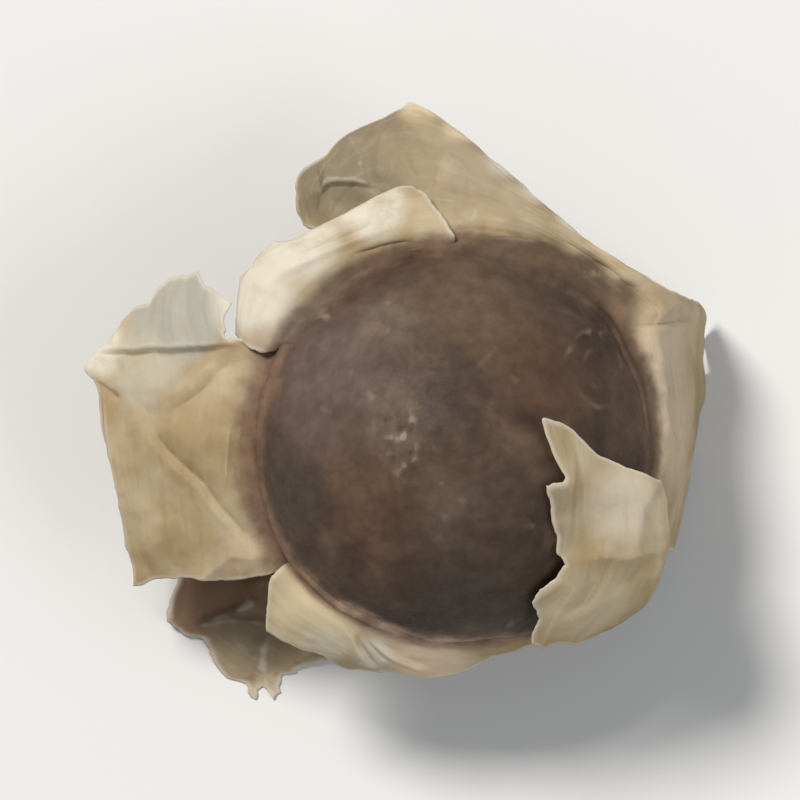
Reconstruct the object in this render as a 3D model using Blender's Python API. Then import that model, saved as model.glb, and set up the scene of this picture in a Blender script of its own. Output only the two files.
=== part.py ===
"""A dried moringa seed: a brown three-sided hull with three papery wings, grown as one piece.

The seed lies on one of its wings with a face of the hull up. X is to the right, Y runs from the lower pole
to the upper one, and Z is up. The origin is the middle of the seed's footprint, on the surface it lies on.
Points are given in millimetres from the middle of the hull, and become metres when a mesh is made.
"""
import math

import bpy
import numpy as np

MM = 0.001

# The hull
HULL_RADII = (5.35, 5.6, 5.0)  # half its width, its length from pole to pole and its thickness
HULL_MIDDLE = (1.48, -1.29, 5.3)  # from the origin
RIDGE_AZIMUTHS = (-72.0, 72.0, 180.0)  # degrees about the pole axis, from straight up
RIDGE_RISE = 0.045  # of the radius
RIDGE_SPREAD = 17.0  # degrees
HULL_SIDES = 44
HULL_RINGS = 26

# The wings
WING_THICKNESS = 0.28
ROOT_DEPTH = 0.45  # how far a wing's root runs into the hull
STEPS_PER_SPAN = 3

LEFT, RIGHT, BACK = RIDGE_AZIMUTHS
HULL_COLOUR = (0.105, 0.068, 0.047, 1.0)
HULL_ROUGHNESS = 0.62


def clear_scene():
    for found in list(bpy.data.objects):
        bpy.data.objects.remove(found, do_unlink=True)


def ridge(azimuth):
    """How much the hull swells towards its three ridges, from 0 to 1."""
    gaps = [(azimuth - line + 180.0) % 360.0 - 180.0 for line in RIDGE_AZIMUTHS]
    return sum(math.exp(-((gap / RIDGE_SPREAD) ** 2)) for gap in gaps)


def on_hull(azimuth, latitude, lift=-ROOT_DEPTH):
    """The point on the hull at an azimuth about the pole axis and a latitude towards the upper pole."""
    turn, climb = math.radians(azimuth), math.radians(latitude)
    way = (math.cos(climb) * math.sin(turn), math.sin(climb), math.cos(climb) * math.cos(turn))
    swell = 1.0 + RIDGE_RISE * ridge(azimuth) * math.cos(climb)
    point = [radius * swell * part for radius, part in zip(HULL_RADII, way)]
    size = math.sqrt(sum(part * part for part in point))
    return tuple(part * (size + lift) / size for part in point)


def hull_shape():
    """Points and faces of the hull: rings of latitude between its two poles."""
    points = [on_hull(0.0, -90.0, 0.0)]
    for ring in range(1, HULL_RINGS):
        latitude = -90.0 + 180.0 * ring / HULL_RINGS
        points += [on_hull(360.0 * side / HULL_SIDES, latitude, 0.0) for side in range(HULL_SIDES)]
    points.append(on_hull(0.0, 90.0, 0.0))
    faces = []
    for side in range(HULL_SIDES):
        after = (side + 1) % HULL_SIDES
        faces.append((0, 1 + after, 1 + side))
        for ring in range(HULL_RINGS - 2):
            low, high = 1 + ring * HULL_SIDES, 1 + (ring + 1) * HULL_SIDES
            faces.append((low + side, low + after, high + after, high + side))
        last = 1 + (HULL_RINGS - 2) * HULL_SIDES
        faces.append((last + side, last + after, len(points) - 1))
    return points, faces


def smooth_run(points, steps):
    """A smooth curve through the points, as steps points for each span and the last point."""
    knots = np.array(points, dtype=float)
    ends = np.vstack([2 * knots[:1] - knots[1:2], knots, 2 * knots[-1:] - knots[-2:-1]])
    out = []
    for i in range(len(knots) - 1):
        before, start, end, after = ends[i : i + 4]
        for step in range(steps):
            t = step / steps
            pull = (end - before) * t + (2 * before - 5 * start + 4 * end - after) * t**2
            pull += (3 * start - before - 3 * end + after) * t**3
            out.append(start + 0.5 * pull)
    return np.array(out + [knots[-1]])


def surface(stations):
    """A grid of points on the smooth sheet through the stations, each a run of points from root to rim."""
    across = np.array([smooth_run(station, STEPS_PER_SPAN) for station in stations])
    return np.array([smooth_run(line, STEPS_PER_SPAN) for line in across.transpose(1, 0, 2)])


def sheet_shape(stations):
    """Points and faces of a closed thin body around the sheet through the stations."""
    grid = surface(stations)
    along, across = np.gradient(grid, axis=1), np.gradient(grid, axis=0)
    normals = np.cross(along, across)
    normals /= np.linalg.norm(normals, axis=2, keepdims=True)
    half = 0.5 * WING_THICKNESS * normals
    rows, columns = grid.shape[:2]
    points = np.vstack([(grid + half).reshape(-1, 3), (grid - half).reshape(-1, 3)])
    under = rows * columns
    faces = []
    for row in range(rows - 1):
        for column in range(columns - 1):
            a = row * columns + column
            b, c, d = a + 1, a + columns + 1, a + columns
            faces.append((a, b, c, d))
            faces.append((under + d, under + c, under + b, under + a))
    rim = [column for column in range(columns)]
    rim += [row * columns + columns - 1 for row in range(1, rows)]
    rim += [(rows - 1) * columns + column for column in range(columns - 2, -1, -1)]
    rim += [row * columns for row in range(rows - 2, 0, -1)]
    for here, there in zip(rim, rim[1:] + rim[:1]):
        faces.append((there, here, under + here, under + there))
    return points.tolist(), faces


def left_wing():
    """The left wing's middle: a flap at its top, then a panel that hangs outwards."""
    return [
        [(-6.0, 4.1, 0.9), (-7.0, 5.0, 0.6), (-8.2, 4.7, -0.1), (-9.3, 3.7, -0.9)],
        [(-5.6, 3.2, 1.2), (-7.0, 3.6, 0.9), (-8.4, 3.5, 0.1), (-9.9, 2.8, -0.8)],
        [on_hull(LEFT, 26), (-6.6, 2.6, 1.0), (-8.4, 2.6, 0.2), (-10.3, 2.2, -0.8)],
        [on_hull(LEFT, 15), (-6.5, 1.6, 1.1), (-8.3, 1.4, 0.3), (-10.0, 1.4, -0.7)],
        [on_hull(LEFT, 3), (-6.7, 0.2, 1.0), (-8.3, 0.1, 0.0), (-9.8, 0.2, -1.0)],
        [on_hull(LEFT, -10), (-6.7, -1.2, 0.6), (-8.2, -1.3, -0.4), (-9.6, -1.2, -1.3)],
        [on_hull(LEFT, -24), (-6.5, -2.5, 0.2), (-8.0, -2.6, -0.9), (-9.3, -2.6, -1.9)],
        [on_hull(LEFT, -38), (-6.3, -3.7, -0.3), (-7.7, -3.7, -1.4), (-9.0, -3.9, -2.4)],
    ]


def collar():
    """The left wing's upper part, a collar round the hull's upper left side that folds down along its rim."""
    return [
        [on_hull(LEFT, 24), (-5.4, 2.5, 1.6), (-5.8, 2.8, 1.4), (-6.1, 3.1, 0.9)],
        [on_hull(LEFT, 34), (-4.9, 3.5, 1.7), (-5.6, 3.9, 1.5), (-6.0, 4.2, 0.9)],
        [on_hull(LEFT, 45), (-4.3, 4.3, 1.7), (-5.0, 4.9, 1.6), (-5.5, 5.3, 0.9)],
        [on_hull(LEFT, 56), (-3.4, 5.0, 1.6), (-4.0, 5.6, 1.5), (-4.3, 6.0, 0.9)],
        [on_hull(-66, 66), (-2.4, 5.5, 1.5), (-2.8, 6.2, 1.4), (-3.0, 6.6, 0.9)],
        [on_hull(-54, 75), (-1.5, 5.9, 1.4), (-1.7, 6.6, 1.2), (-1.8, 7.1, 0.8)],
        [on_hull(-20, 80), (-0.7, 6.0, 1.3), (-0.75, 6.6, 1.1), (-0.8, 7.1, 0.6)],
        [on_hull(20, 78), (0.1, 5.9, 1.3), (0.0, 6.2, 1.0), (-0.1, 6.4, 0.6)],
    ]


def right_wing():
    """The right wing, from under the collar, over the upper pole and down the hull's right side."""
    return [
        [on_hull(-66, 68), (-2.9, 5.4, -0.7), (-3.4, 5.8, -1.2), (-3.8, 6.0, -1.7), (-4.1, 6.2, -2.2)],
        [on_hull(-56, 72), (-2.3, 5.9, -0.4), (-3.0, 6.7, -0.9), (-3.7, 7.3, -1.4), (-4.4, 7.6, -2.0)],
        [on_hull(-38, 70), (-1.5, 6.2, 0.0), (-2.1, 7.2, -0.6), (-2.8, 8.3, -1.2), (-3.1, 8.9, -1.7)],
        [on_hull(-15, 62), (-0.8, 6.0, 0.8), (-0.9, 7.3, -0.1), (-1.1, 8.9, -0.6), (-1.2, 9.7, -1.1)],
        [on_hull(8, 57), (0.3, 6.1, 0.9), (0.3, 7.2, 0.3), (0.4, 8.3, 0.0), (0.6, 8.7, -0.7)],
        [on_hull(30, 53), (1.8, 6.0, 0.8), (1.9, 6.6, 0.5), (2.0, 7.1, 0.4), (2.1, 7.5, -0.5)],
        [on_hull(48, 47), (3.1, 5.5, 0.8), (3.4, 5.8, 0.8), (3.7, 6.0, 0.6), (3.9, 6.1, -0.6)],
        [on_hull(62, 41), (4.3, 4.7, 0.7), (4.7, 4.9, 0.8), (5.0, 5.1, 0.5), (5.2, 5.2, -1.5)],
        [on_hull(RIGHT, 34), (5.5, 3.7, 0.7), (6.0, 3.9, 0.4), (6.6, 4.1, -0.7), (7.1, 4.0, -4.4)],
        [on_hull(RIGHT, 24), (5.7, 2.8, 1.0), (6.2, 2.9, -0.4), (6.7, 3.0, -2.6), (7.2, 3.0, -5.5)],
        [on_hull(RIGHT, 12), (5.9, 1.5, 1.0), (6.4, 1.5, -0.5), (6.8, 1.5, -2.7), (7.2, 1.4, -5.5)],
        [on_hull(RIGHT, 0), (6.0, 0.2, 1.0), (6.4, 0.1, -0.5), (6.7, 0.1, -2.6), (7.0, 0.0, -5.4)],
        [on_hull(RIGHT, -12), (5.9, -1.2, 0.9), (6.2, -1.3, -0.5), (6.5, -1.4, -2.3), (6.6, -1.5, -4.7)],
        [on_hull(RIGHT, -24), (5.6, -2.5, 0.9), (5.9, -2.7, -0.4), (6.1, -2.9, -1.9), (6.2, -3.0, -3.7)],
    ]


def peeled_flap():
    """The right wing's lower part, torn off short and folded back over the hull's face."""
    return [
        [on_hull(78, -9), (5.8, -1.0, 1.7), (5.7, -0.9, 2.5), (4.4, -0.3, 3.5), (2.4, 0.9, 4.9)],
        [on_hull(78, -16), (6.0, -1.8, 1.5), (5.9, -1.8, 2.4), (4.5, -1.2, 3.5), (2.8, -0.8, 4.5)],
        [on_hull(78, -24), (6.0, -2.7, 1.2), (5.9, -2.9, 2.1), (4.4, -2.4, 3.1), (2.8, -2.3, 3.9)],
        [on_hull(76, -38), (5.7, -4.0, 0.8), (5.5, -4.2, 1.6), (4.1, -3.8, 2.5), (2.7, -3.7, 3.2)],
        [on_hull(72, -48), (5.1, -4.8, 0.6), (4.8, -4.8, 1.1), (3.6, -4.7, 2.0), (2.3, -4.6, 2.5)],
        [on_hull(62, -60), (4.1, -5.4, 0.4), (3.8, -5.4, 0.8), (3.1, -5.4, 1.3), (2.2, -5.4, 1.8)],
    ]


def lower_band():
    """Where the left and right wings run on past the lower pole and meet."""
    return [
        [on_hull(LEFT, -28), (-4.9, -3.5, 1.0), (-5.1, -4.3, 0.5), (-5.3, -5.2, -0.3)],
        [on_hull(-68, -42), (-4.1, -4.4, 1.2), (-4.2, -5.0, 0.7), (-4.4, -5.7, -0.2)],
        [on_hull(-56, -54), (-3.1, -5.1, 1.1), (-3.1, -5.6, 0.6), (-3.2, -6.1, -0.3)],
        [on_hull(-34, -66), (-1.9, -5.6, 0.8), (-1.9, -6.0, 0.3), (-1.9, -6.4, -0.5)],
        [on_hull(0, -72), (-0.6, -5.9, 0.5), (-0.6, -6.3, 0.0), (-0.6, -6.7, -0.8)],
        [on_hull(36, -70), (0.8, -5.9, 0.5), (0.9, -6.2, 0.0), (1.0, -6.5, -0.7)],
        [on_hull(56, -62), (2.0, -5.6, 0.5), (2.1, -5.8, 0.2), (2.3, -5.9, -0.4)],
    ]


def third_wing():
    """The wing under the hull, folded flat to the left, which the seed lies on."""
    return [
        [on_hull(BACK, 58), (-1.5, 4.9, -4.9), (-2.7, 6.0, -5.1), (-3.7, 6.8, -4.7)],
        [on_hull(BACK, 42), (-1.8, 3.8, -5.2), (-3.6, 4.6, -5.25), (-4.9, 5.1, -5.0)],
        [on_hull(BACK, 24), (-1.9, 2.2, -5.25), (-3.9, 2.5, -5.25), (-5.6, 2.8, -5.1)],
        [on_hull(BACK, 6), (-2.0, 0.5, -5.25), (-4.2, 0.4, -5.25), (-6.6, 0.3, -5.0)],
        [on_hull(BACK, -12), (-2.0, -1.2, -5.25), (-4.6, -1.7, -5.25), (-7.4, -2.2, -4.8)],
        [on_hull(BACK, -28), (-2.0, -2.9, -5.25), (-4.9, -3.6, -5.1), (-8.1, -4.6, -4.9)],
        [on_hull(BACK, -42), (-1.9, -4.2, -5.1), (-4.1, -5.1, -5.0), (-6.9, -6.0, -5.3)],
        [on_hull(BACK, -54), (-1.7, -5.0, -4.9), (-3.2, -6.0, -5.0), (-5.0, -7.1, -5.35)],
    ]


WINGS = {
    "left_wing": left_wing,
    "collar": collar,
    "right_wing": right_wing,
    "peeled_flap": peeled_flap,
    "lower_band": lower_band,
    "third_wing": third_wing,
}


def seed_coat_material():
    material = bpy.data.materials.new("seed_coat")
    material.use_nodes = True
    shader = material.node_tree.nodes["Principled BSDF"]
    shader.inputs["Base Color"].default_value = HULL_COLOUR
    shader.inputs["Roughness"].default_value = HULL_ROUGHNESS
    shader.inputs["Metallic"].default_value = 0.0
    return material


def placed(point):
    """A point in metres from the origin. The surface under the seed presses what would go lower flat."""
    x, y, z = (part + start for part, start in zip(point, HULL_MIDDLE))
    return x * MM, y * MM, max(z, 0.0) * MM


def add_object(name, points, faces):
    mesh = bpy.data.meshes.new(name)
    mesh.from_pydata([placed(point) for point in points], [], faces)
    mesh.update()
    made = bpy.data.objects.new(name, mesh)
    bpy.context.scene.collection.objects.link(made)
    return made


def grow_on(seed, name, stations):
    """Joins a wing to the seed, so that both are one closed body."""
    wing = add_object(name, *sheet_shape(stations))
    wing.hide_render = True
    wing.display_type = "WIRE"
    join = seed.modifiers.new(name, "BOOLEAN")
    join.operation = "UNION"
    join.solver = "EXACT"
    join.object = wing


def main():
    clear_scene()
    seed = add_object("moringa_seed", *hull_shape())
    seed.data.materials.append(seed_coat_material())
    seed.data.shade_smooth()
    for name, stations in WINGS.items():
        grow_on(seed, name, stations())


main()
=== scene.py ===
"""The looks of a dried moringa seed: a brown, slightly three-sided hull framed by torn, crumpled wings.

The seed lies on a pale floor and the camera looks straight down on the face of its hull. Shapes are worked
out in millimetres from the middle of the hull, and become metres when a mesh is made. Each wing is a smooth
sheet through a net of points, which is creased and crumpled and then torn off along its outline.
"""
import math

import bpy
import numpy as np
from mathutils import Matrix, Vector, kdtree
from mathutils.geometry import delaunay_2d_cdt


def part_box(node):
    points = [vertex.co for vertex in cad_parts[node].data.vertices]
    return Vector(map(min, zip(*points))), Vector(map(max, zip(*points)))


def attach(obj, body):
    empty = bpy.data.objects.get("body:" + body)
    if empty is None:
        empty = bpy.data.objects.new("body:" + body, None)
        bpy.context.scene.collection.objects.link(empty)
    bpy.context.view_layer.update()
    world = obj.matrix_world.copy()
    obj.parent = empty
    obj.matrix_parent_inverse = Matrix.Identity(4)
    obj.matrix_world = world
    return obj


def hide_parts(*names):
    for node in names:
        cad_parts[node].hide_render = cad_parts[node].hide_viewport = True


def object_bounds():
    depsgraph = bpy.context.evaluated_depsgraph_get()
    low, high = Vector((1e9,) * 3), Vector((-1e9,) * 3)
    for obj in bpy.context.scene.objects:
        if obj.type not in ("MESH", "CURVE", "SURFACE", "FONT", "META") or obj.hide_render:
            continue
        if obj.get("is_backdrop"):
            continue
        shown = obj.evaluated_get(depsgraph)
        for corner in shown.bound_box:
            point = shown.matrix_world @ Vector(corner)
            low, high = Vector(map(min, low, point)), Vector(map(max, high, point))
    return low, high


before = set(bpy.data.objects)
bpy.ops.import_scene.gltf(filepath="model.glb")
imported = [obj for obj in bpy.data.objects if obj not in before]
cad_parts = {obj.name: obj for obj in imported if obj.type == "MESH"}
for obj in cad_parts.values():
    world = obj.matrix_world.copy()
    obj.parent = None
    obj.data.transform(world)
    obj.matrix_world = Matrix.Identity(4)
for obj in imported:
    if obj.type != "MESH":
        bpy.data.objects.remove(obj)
cad_low, cad_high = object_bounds()

MM = 0.001
NODE = "moringa_seed"

# The hull, as in the frame
HULL_RADII = np.array([5.35, 5.6, 5.0])  # half its width, its length from pole to pole and its thickness
HULL_OFFSET = np.array([1.48, -1.29, 5.3])  # from the middle of the seed's footprint
RIDGE_AZIMUTHS = (-72.0, 72.0, 180.0)  # degrees about the pole axis, from straight up
RIDGE_RISE = 0.045  # of the radius
RIDGE_SPREAD = 17.0  # degrees
LEFT, RIGHT, BACK = RIDGE_AZIMUTHS
ROOT_DEPTH = 0.45  # how far a wing's root runs into the hull

# The looks of the hull's surface
BUMPS = ((0.11, 3.2, 3, 11), (0.025, 0.9, 3, 21), (0.005, 0.22, 2, 41))  # height, width, layers and seed
PIT_DEPTH = 0.012
LINE_RISE = 0.04  # of the fine line along each ridge
LINE_SPREAD = 5.5  # degrees

# How fine the meshes are
HULL_CELLS = 112  # along each side of the cube that the hull is rounded from
CELL = 0.055  # of the grid that a wing's surface is worked out on
GAP = 0.056  # between the points of a wing's mesh
EDGE_GAP = 0.045  # between the points along a torn edge
SPAN_STEPS = 12  # from one point of a wing's net to the next

# The wings
MARGIN = 1.3  # how far the smooth sheet runs on past a net's rim and ends
FLATNESS = 0.65  # how much of a sheet is flat between its net's points, rather than curved
CREASE_STEPS = 24  # how often a sheet is softened, which rounds its bends
PAPER_THICKNESS = 0.06
RIM_THICKNESS = 0.03
RIM_WIDTH = 0.15  # over which the rim thickens to that of the paper
PALE_RIM = 0.16  # how far in from a torn edge the paper is paler, partly its own paleness and partly a painted highlight
FACETS = ((1.15, 0.13, 2, 10), (0.42, 0.035, 1, 20))  # width, height, softening and a number for the seed
WAVE_RISE = 0.08
FIBRE_RISE = 0.012
FOLD_SHARPNESS = 1.3  # 1 for straight sides, more for hollow ones
FREE_HEIGHT = 0.7  # over the hull, where a wing's creases reach their full height
CREST_STEPS = 14  # how far round a point of a wing its surroundings reach
CREST_RISE = 0.045  # over its surroundings, where the painted highlight on a crease's crest is palest
TEARS = ((1.1, 0.45), (0.4, 0.35), (0.14, 0.2))  # the gaps and heights of a torn edge's nicks

# Where the wings meet the hull
FILLET_REACH = 0.13  # of the hollow rounding between a wing and the hull
FILLET_RISE = math.e * FILLET_REACH  # so that both sides of it meet without a crease
FILLET_START = 0.35  # from a wing's torn edge, where it is full
FILLET_TOP = 0.8  # of the reach: nearer to the root, the hull's side of it rises no further
EASE = 0.15  # how far off the hull a wing that lies along it comes away
SEAM_STEPS = 6  # to either side, over which a wing's seam is evened out
ROOT_SLOPE = 0.85  # how steeply a wing counts as leaving the hull at least
ROOT_NEIGHBOURS = 16  # points of the roots that a point of the hull takes its look from
ROOT_PAPER = 0.42  # how far a root's look is from the hull's skin, at 0, to a wing, at 1
SEAM_DIP = 0.4  # how much less far it is right in the seam, as a share, which darkens the seam as painted shade
SEAM_WIDTH = 0.17

low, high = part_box(NODE)
HULL_MIDDLE = np.array([(low.x + high.x) / 2, (low.y + high.y) / 2, low.z]) / MM + HULL_OFFSET
SURFACE = -HULL_OFFSET[2]  # the height of the surface that the seed lies on


def smooth_step(value, start, end):
    share = np.clip((value - start) / (end - start), 0.0, 1.0)
    return share * share * (3.0 - 2.0 * share)


def noise(points, size, seed):
    """Smooth noise from -1 to 1, with features of about that size in millimetres."""
    count = 32
    lattice = np.random.default_rng(seed).uniform(-1.0, 1.0, (count, count, count))
    place = np.asarray(points) / size + 1000.0
    cell = np.floor(place).astype(int)
    share = place - cell
    share = share * share * (3.0 - 2.0 * share)
    total = np.zeros(place.shape[:-1])
    for corner in np.ndindex(2, 2, 2):
        at = (cell + corner) % count
        weight = np.prod(np.where(corner, share, 1.0 - share), axis=-1)
        total += weight * lattice[at[..., 0], at[..., 1], at[..., 2]]
    return total


def layered_noise(points, size, layers, seed):
    total = sum(noise(points, size / 2**layer, seed + layer) / 2**layer for layer in range(layers))
    return total / (2.0 - 0.5 ** (layers - 1))


def ridge(azimuth, spread=RIDGE_SPREAD):
    """How close an azimuth is to one of the hull's three ridges, from 0 to 1."""
    gaps = [(azimuth - line + 180.0) % 360.0 - 180.0 for line in RIDGE_AZIMUTHS]
    return sum(np.exp(-((gap / spread) ** 2)) for gap in gaps)


def hull_points(azimuth, latitude, lift=0.0):
    """Points on the hull at azimuths about the pole axis and latitudes towards the upper pole."""
    turn, climb = np.radians(azimuth), np.radians(latitude)
    way = np.stack([np.cos(climb) * np.sin(turn), np.sin(climb), np.cos(climb) * np.cos(turn)], axis=-1)
    swell = 1.0 + RIDGE_RISE * ridge(azimuth) * np.cos(climb)
    points = HULL_RADII * way * swell[..., None]
    size = np.linalg.norm(points, axis=-1, keepdims=True)
    return points * (size + lift) / size


def hull_angles(points):
    """Azimuth and latitude of points, as seen from the middle of the hull."""
    way = points / HULL_RADII
    size = np.linalg.norm(way, axis=-1)
    azimuth = np.degrees(np.arctan2(way[..., 0], way[..., 2]))
    latitude = np.degrees(np.arcsin(np.clip(way[..., 1] / np.maximum(size, 1e-9), -1.0, 1.0)))
    return azimuth, latitude


def hull_swelling(base, azimuth, latitude):
    """How far the hull's bumps, pits and ridge lines stand off its smooth shape."""
    bumps = sum(height * layered_noise(base, width, layers, seed) for height, width, layers, seed in BUMPS)
    pits = PIT_DEPTH * (1.0 - np.abs(noise(base, 0.55, 31))) ** 6
    line = LINE_RISE * ridge(azimuth, LINE_SPREAD) * np.cos(np.radians(latitude)) ** 0.5
    return bumps - pits + line * (0.75 + 0.5 * noise(base, 0.7, 51))


def height_over_hull(points):
    azimuth, latitude = hull_angles(points)
    base = hull_points(azimuth, latitude)
    ground = np.linalg.norm(base, axis=-1) + hull_swelling(base, azimuth, latitude)
    return np.linalg.norm(points, axis=-1) - ground


def away_from_hull(points):
    """The direction straight off the hull at each point."""
    way = points / HULL_RADII**2
    return way / np.maximum(np.linalg.norm(way, axis=-1, keepdims=True), 1e-9)


def root_share(away, strength):
    """How far the look at a distance from a root is from the hull's skin to a wing, dipping right in the
    seam as painted shade.
    """
    return ROOT_PAPER * strength * (1.0 - SEAM_DIP * np.exp(-((away / SEAM_WIDTH) ** 2)))


def add_object(name, data):
    made = bpy.data.objects.new(name, data)
    bpy.context.scene.collection.objects.link(made)
    return made


def make_piece(name, points, faces, values, run, material):
    """A mesh object of the seed, with the values its material reads at each point, riding on the frame."""
    mesh = bpy.data.meshes.new(name)
    mesh.from_pydata(((points + HULL_MIDDLE) * MM).tolist(), [], faces)
    for key, numbers in values.items():
        mesh.attributes.new(key, "FLOAT", "POINT").data.foreach_set("value", numbers.astype(np.float32))
    vectors = mesh.attributes.new("run", "FLOAT_VECTOR", "POINT")
    vectors.data.foreach_set("vector", run.astype(np.float32).ravel())
    mesh.materials.append(material)
    mesh.update()
    mesh.shade_smooth()
    piece = add_object(name, mesh)
    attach(piece, "root")
    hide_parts(NODE)


# Materials

# The hull's colours, then the wings'
HULL_DARK = (0.036, 0.023, 0.016)
HULL_BROWN = (0.064, 0.039, 0.025)
HULL_TAN = (0.100, 0.062, 0.038)
HULL_MAUVE = (0.101, 0.068, 0.055)
HULL_WARM = (0.077, 0.041, 0.024)
HULL_PALE = (0.145, 0.104, 0.074)
HULL_SLATE = (0.047, 0.038, 0.030)
SPECK = (0.25, 0.19, 0.14)
CREAM = (0.53, 0.43, 0.28)
STRAW = (0.42, 0.31, 0.165)
WHITE = (0.71, 0.66, 0.55)
COOL = (0.44, 0.42, 0.35)
PALE = (0.53, 0.485, 0.37)
GREY = (0.61, 0.495, 0.35)
OLIVE = (0.27, 0.22, 0.145)
TAN = (0.36, 0.29, 0.19)
PINK = (0.38, 0.26, 0.18)
ROSE = (0.80, 0.63, 0.46)
# The next brown is painted shade, for the third wing lying in the hull's shade
SHADE_BROWN = (0.30, 0.185, 0.112)
YELLOW = (0.68, 0.57, 0.38)
# The membrane's dark brown, also used as painted shade below the top strip's raised edge
MEMBRANE = (0.100, 0.064, 0.040)
ROOT_TAN = (0.172, 0.105, 0.067)
SKIN_ROUGHNESS = 0.62
PAPER_ROUGHNESS = 0.52


def put(tree, kind, inputs, **settings):
    """Adds a node. An input given as a socket is linked to it, and any other value is set."""
    node = tree.nodes.new(kind)
    for key, value in settings.items():
        setattr(node, key, value)
    for key, value in inputs.items():
        if isinstance(value, bpy.types.NodeSocket):
            tree.links.new(value, node.inputs[key])
        else:
            colour = node.inputs[key].type == "RGBA"
            node.inputs[key].default_value = (*value, 1.0) if colour else value
    return node


def mix(tree, factor, a, b, blend="MIX"):
    """One colour where the factor is 0 and the other where it is 1."""
    inputs = {0: factor, 6: a, 7: b}
    return put(tree, "ShaderNodeMix", inputs, data_type="RGBA", blend_type=blend).outputs[2]


def spread(tree, value, low, high, to_low=0.0, to_high=1.0):
    """The value's range from low to high, eased and mapped to another range."""
    inputs = {"Value": value, "From Min": low, "From Max": high, "To Min": to_low, "To Max": to_high}
    return put(tree, "ShaderNodeMapRange", inputs, interpolation_type="SMOOTHSTEP").outputs[0]


def laid(tree, colour, other, value, start, full, most=1.0):
    """The colour with another laid over it, from none where the value is at start to the most at full."""
    return mix(tree, spread(tree, value, start, full, 0.0, most), colour, other)


def shaded(tree, colour, value):
    """The colour times a value."""
    grey = put(tree, "ShaderNodeCombineColor", {0: value, 1: value, 2: value}).outputs[0]
    return mix(tree, 1.0, colour, grey, "MULTIPLY")


def maths(tree, operation, a, b):
    return put(tree, "ShaderNodeMath", {0: a, 1: b}, operation=operation).outputs[0]


def vector_maths(tree, operation, a, b, output="Vector"):
    return put(tree, "ShaderNodeVectorMath", {0: a, 1: b}, operation=operation).outputs[output]


def attribute(tree, name, output="Fac"):
    return put(tree, "ShaderNodeAttribute", {}, attribute_name=name).outputs[output]


def cloud(tree, place, per_mm, detail=3.0, roughness=0.55, distortion=0.0):
    inputs = dict(Vector=place, Scale=per_mm, Detail=detail, Roughness=roughness, Distortion=distortion)
    return put(tree, "ShaderNodeTexNoise", inputs).outputs["Fac"]


def place_in_mm(tree):
    """Where a point of the surface is, in millimetres from the middle of the hull."""
    where = put(tree, "ShaderNodeTexCoord", {}).outputs["Object"]
    where = vector_maths(tree, "MULTIPLY", where, (1.0 / MM,) * 3)
    return vector_maths(tree, "SUBTRACT", where, tuple(HULL_MIDDLE))


def tinted(tree, colour, place, broken, tints):
    """The colour with broken-edged patches of other tints laid on it one after another."""
    for middle, inner, outer, tint, most in tints:
        away = vector_maths(tree, "DISTANCE", place, middle, "Value")
        share = maths(tree, "MULTIPLY", spread(tree, away, outer, inner), most)
        colour = mix(tree, maths(tree, "MULTIPLY", share, broken), colour, tint)
    return colour


# The middle of each tint, where it is full and where it ends, and how much of it there is at most
HULL_TINTS = (
    # Partly the hull's own colour and partly painted light and shade from the upper left: lighter mauve and
    # pale patches up on the left, darker slate and dark patches over the lower half
    ((-3.6, 1.9, 3.2), 0.8, 3.2, HULL_MAUVE, 1.0),
    ((-2.5, -1.9, 4.1), 0.4, 2.2, HULL_WARM, 0.6),
    ((2.7, 2.0, 4.0), 0.5, 2.6, HULL_WARM, 0.9),
    ((0.6, 3.8, 3.4), 0.5, 2.2, HULL_TAN, 1.0),
    ((-1.5, 0.8, 4.8), 0.2, 1.7, HULL_PALE, 0.45),
    ((-1.9, 3.6, 3.6), 0.2, 1.6, HULL_PALE, 0.7),
    ((-0.2, -1.7, 4.8), 0.1, 1.6, HULL_PALE, 0.4),
    ((0.5, -4.0, 3.3), 0.5, 2.6, HULL_SLATE, 0.8),
    ((1.8, -4.3, 2.8), 0.4, 2.2, HULL_DARK, 0.7),
    ((-4.4, -1.3, 2.6), 0.4, 1.8, HULL_SLATE, 0.9),
    ((-3.8, -3.3, 2.0), 0.4, 1.8, HULL_DARK, 0.5),
    ((3.6, 4.0, 1.6), 0.4, 1.8, HULL_DARK, 0.4),
)
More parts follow.
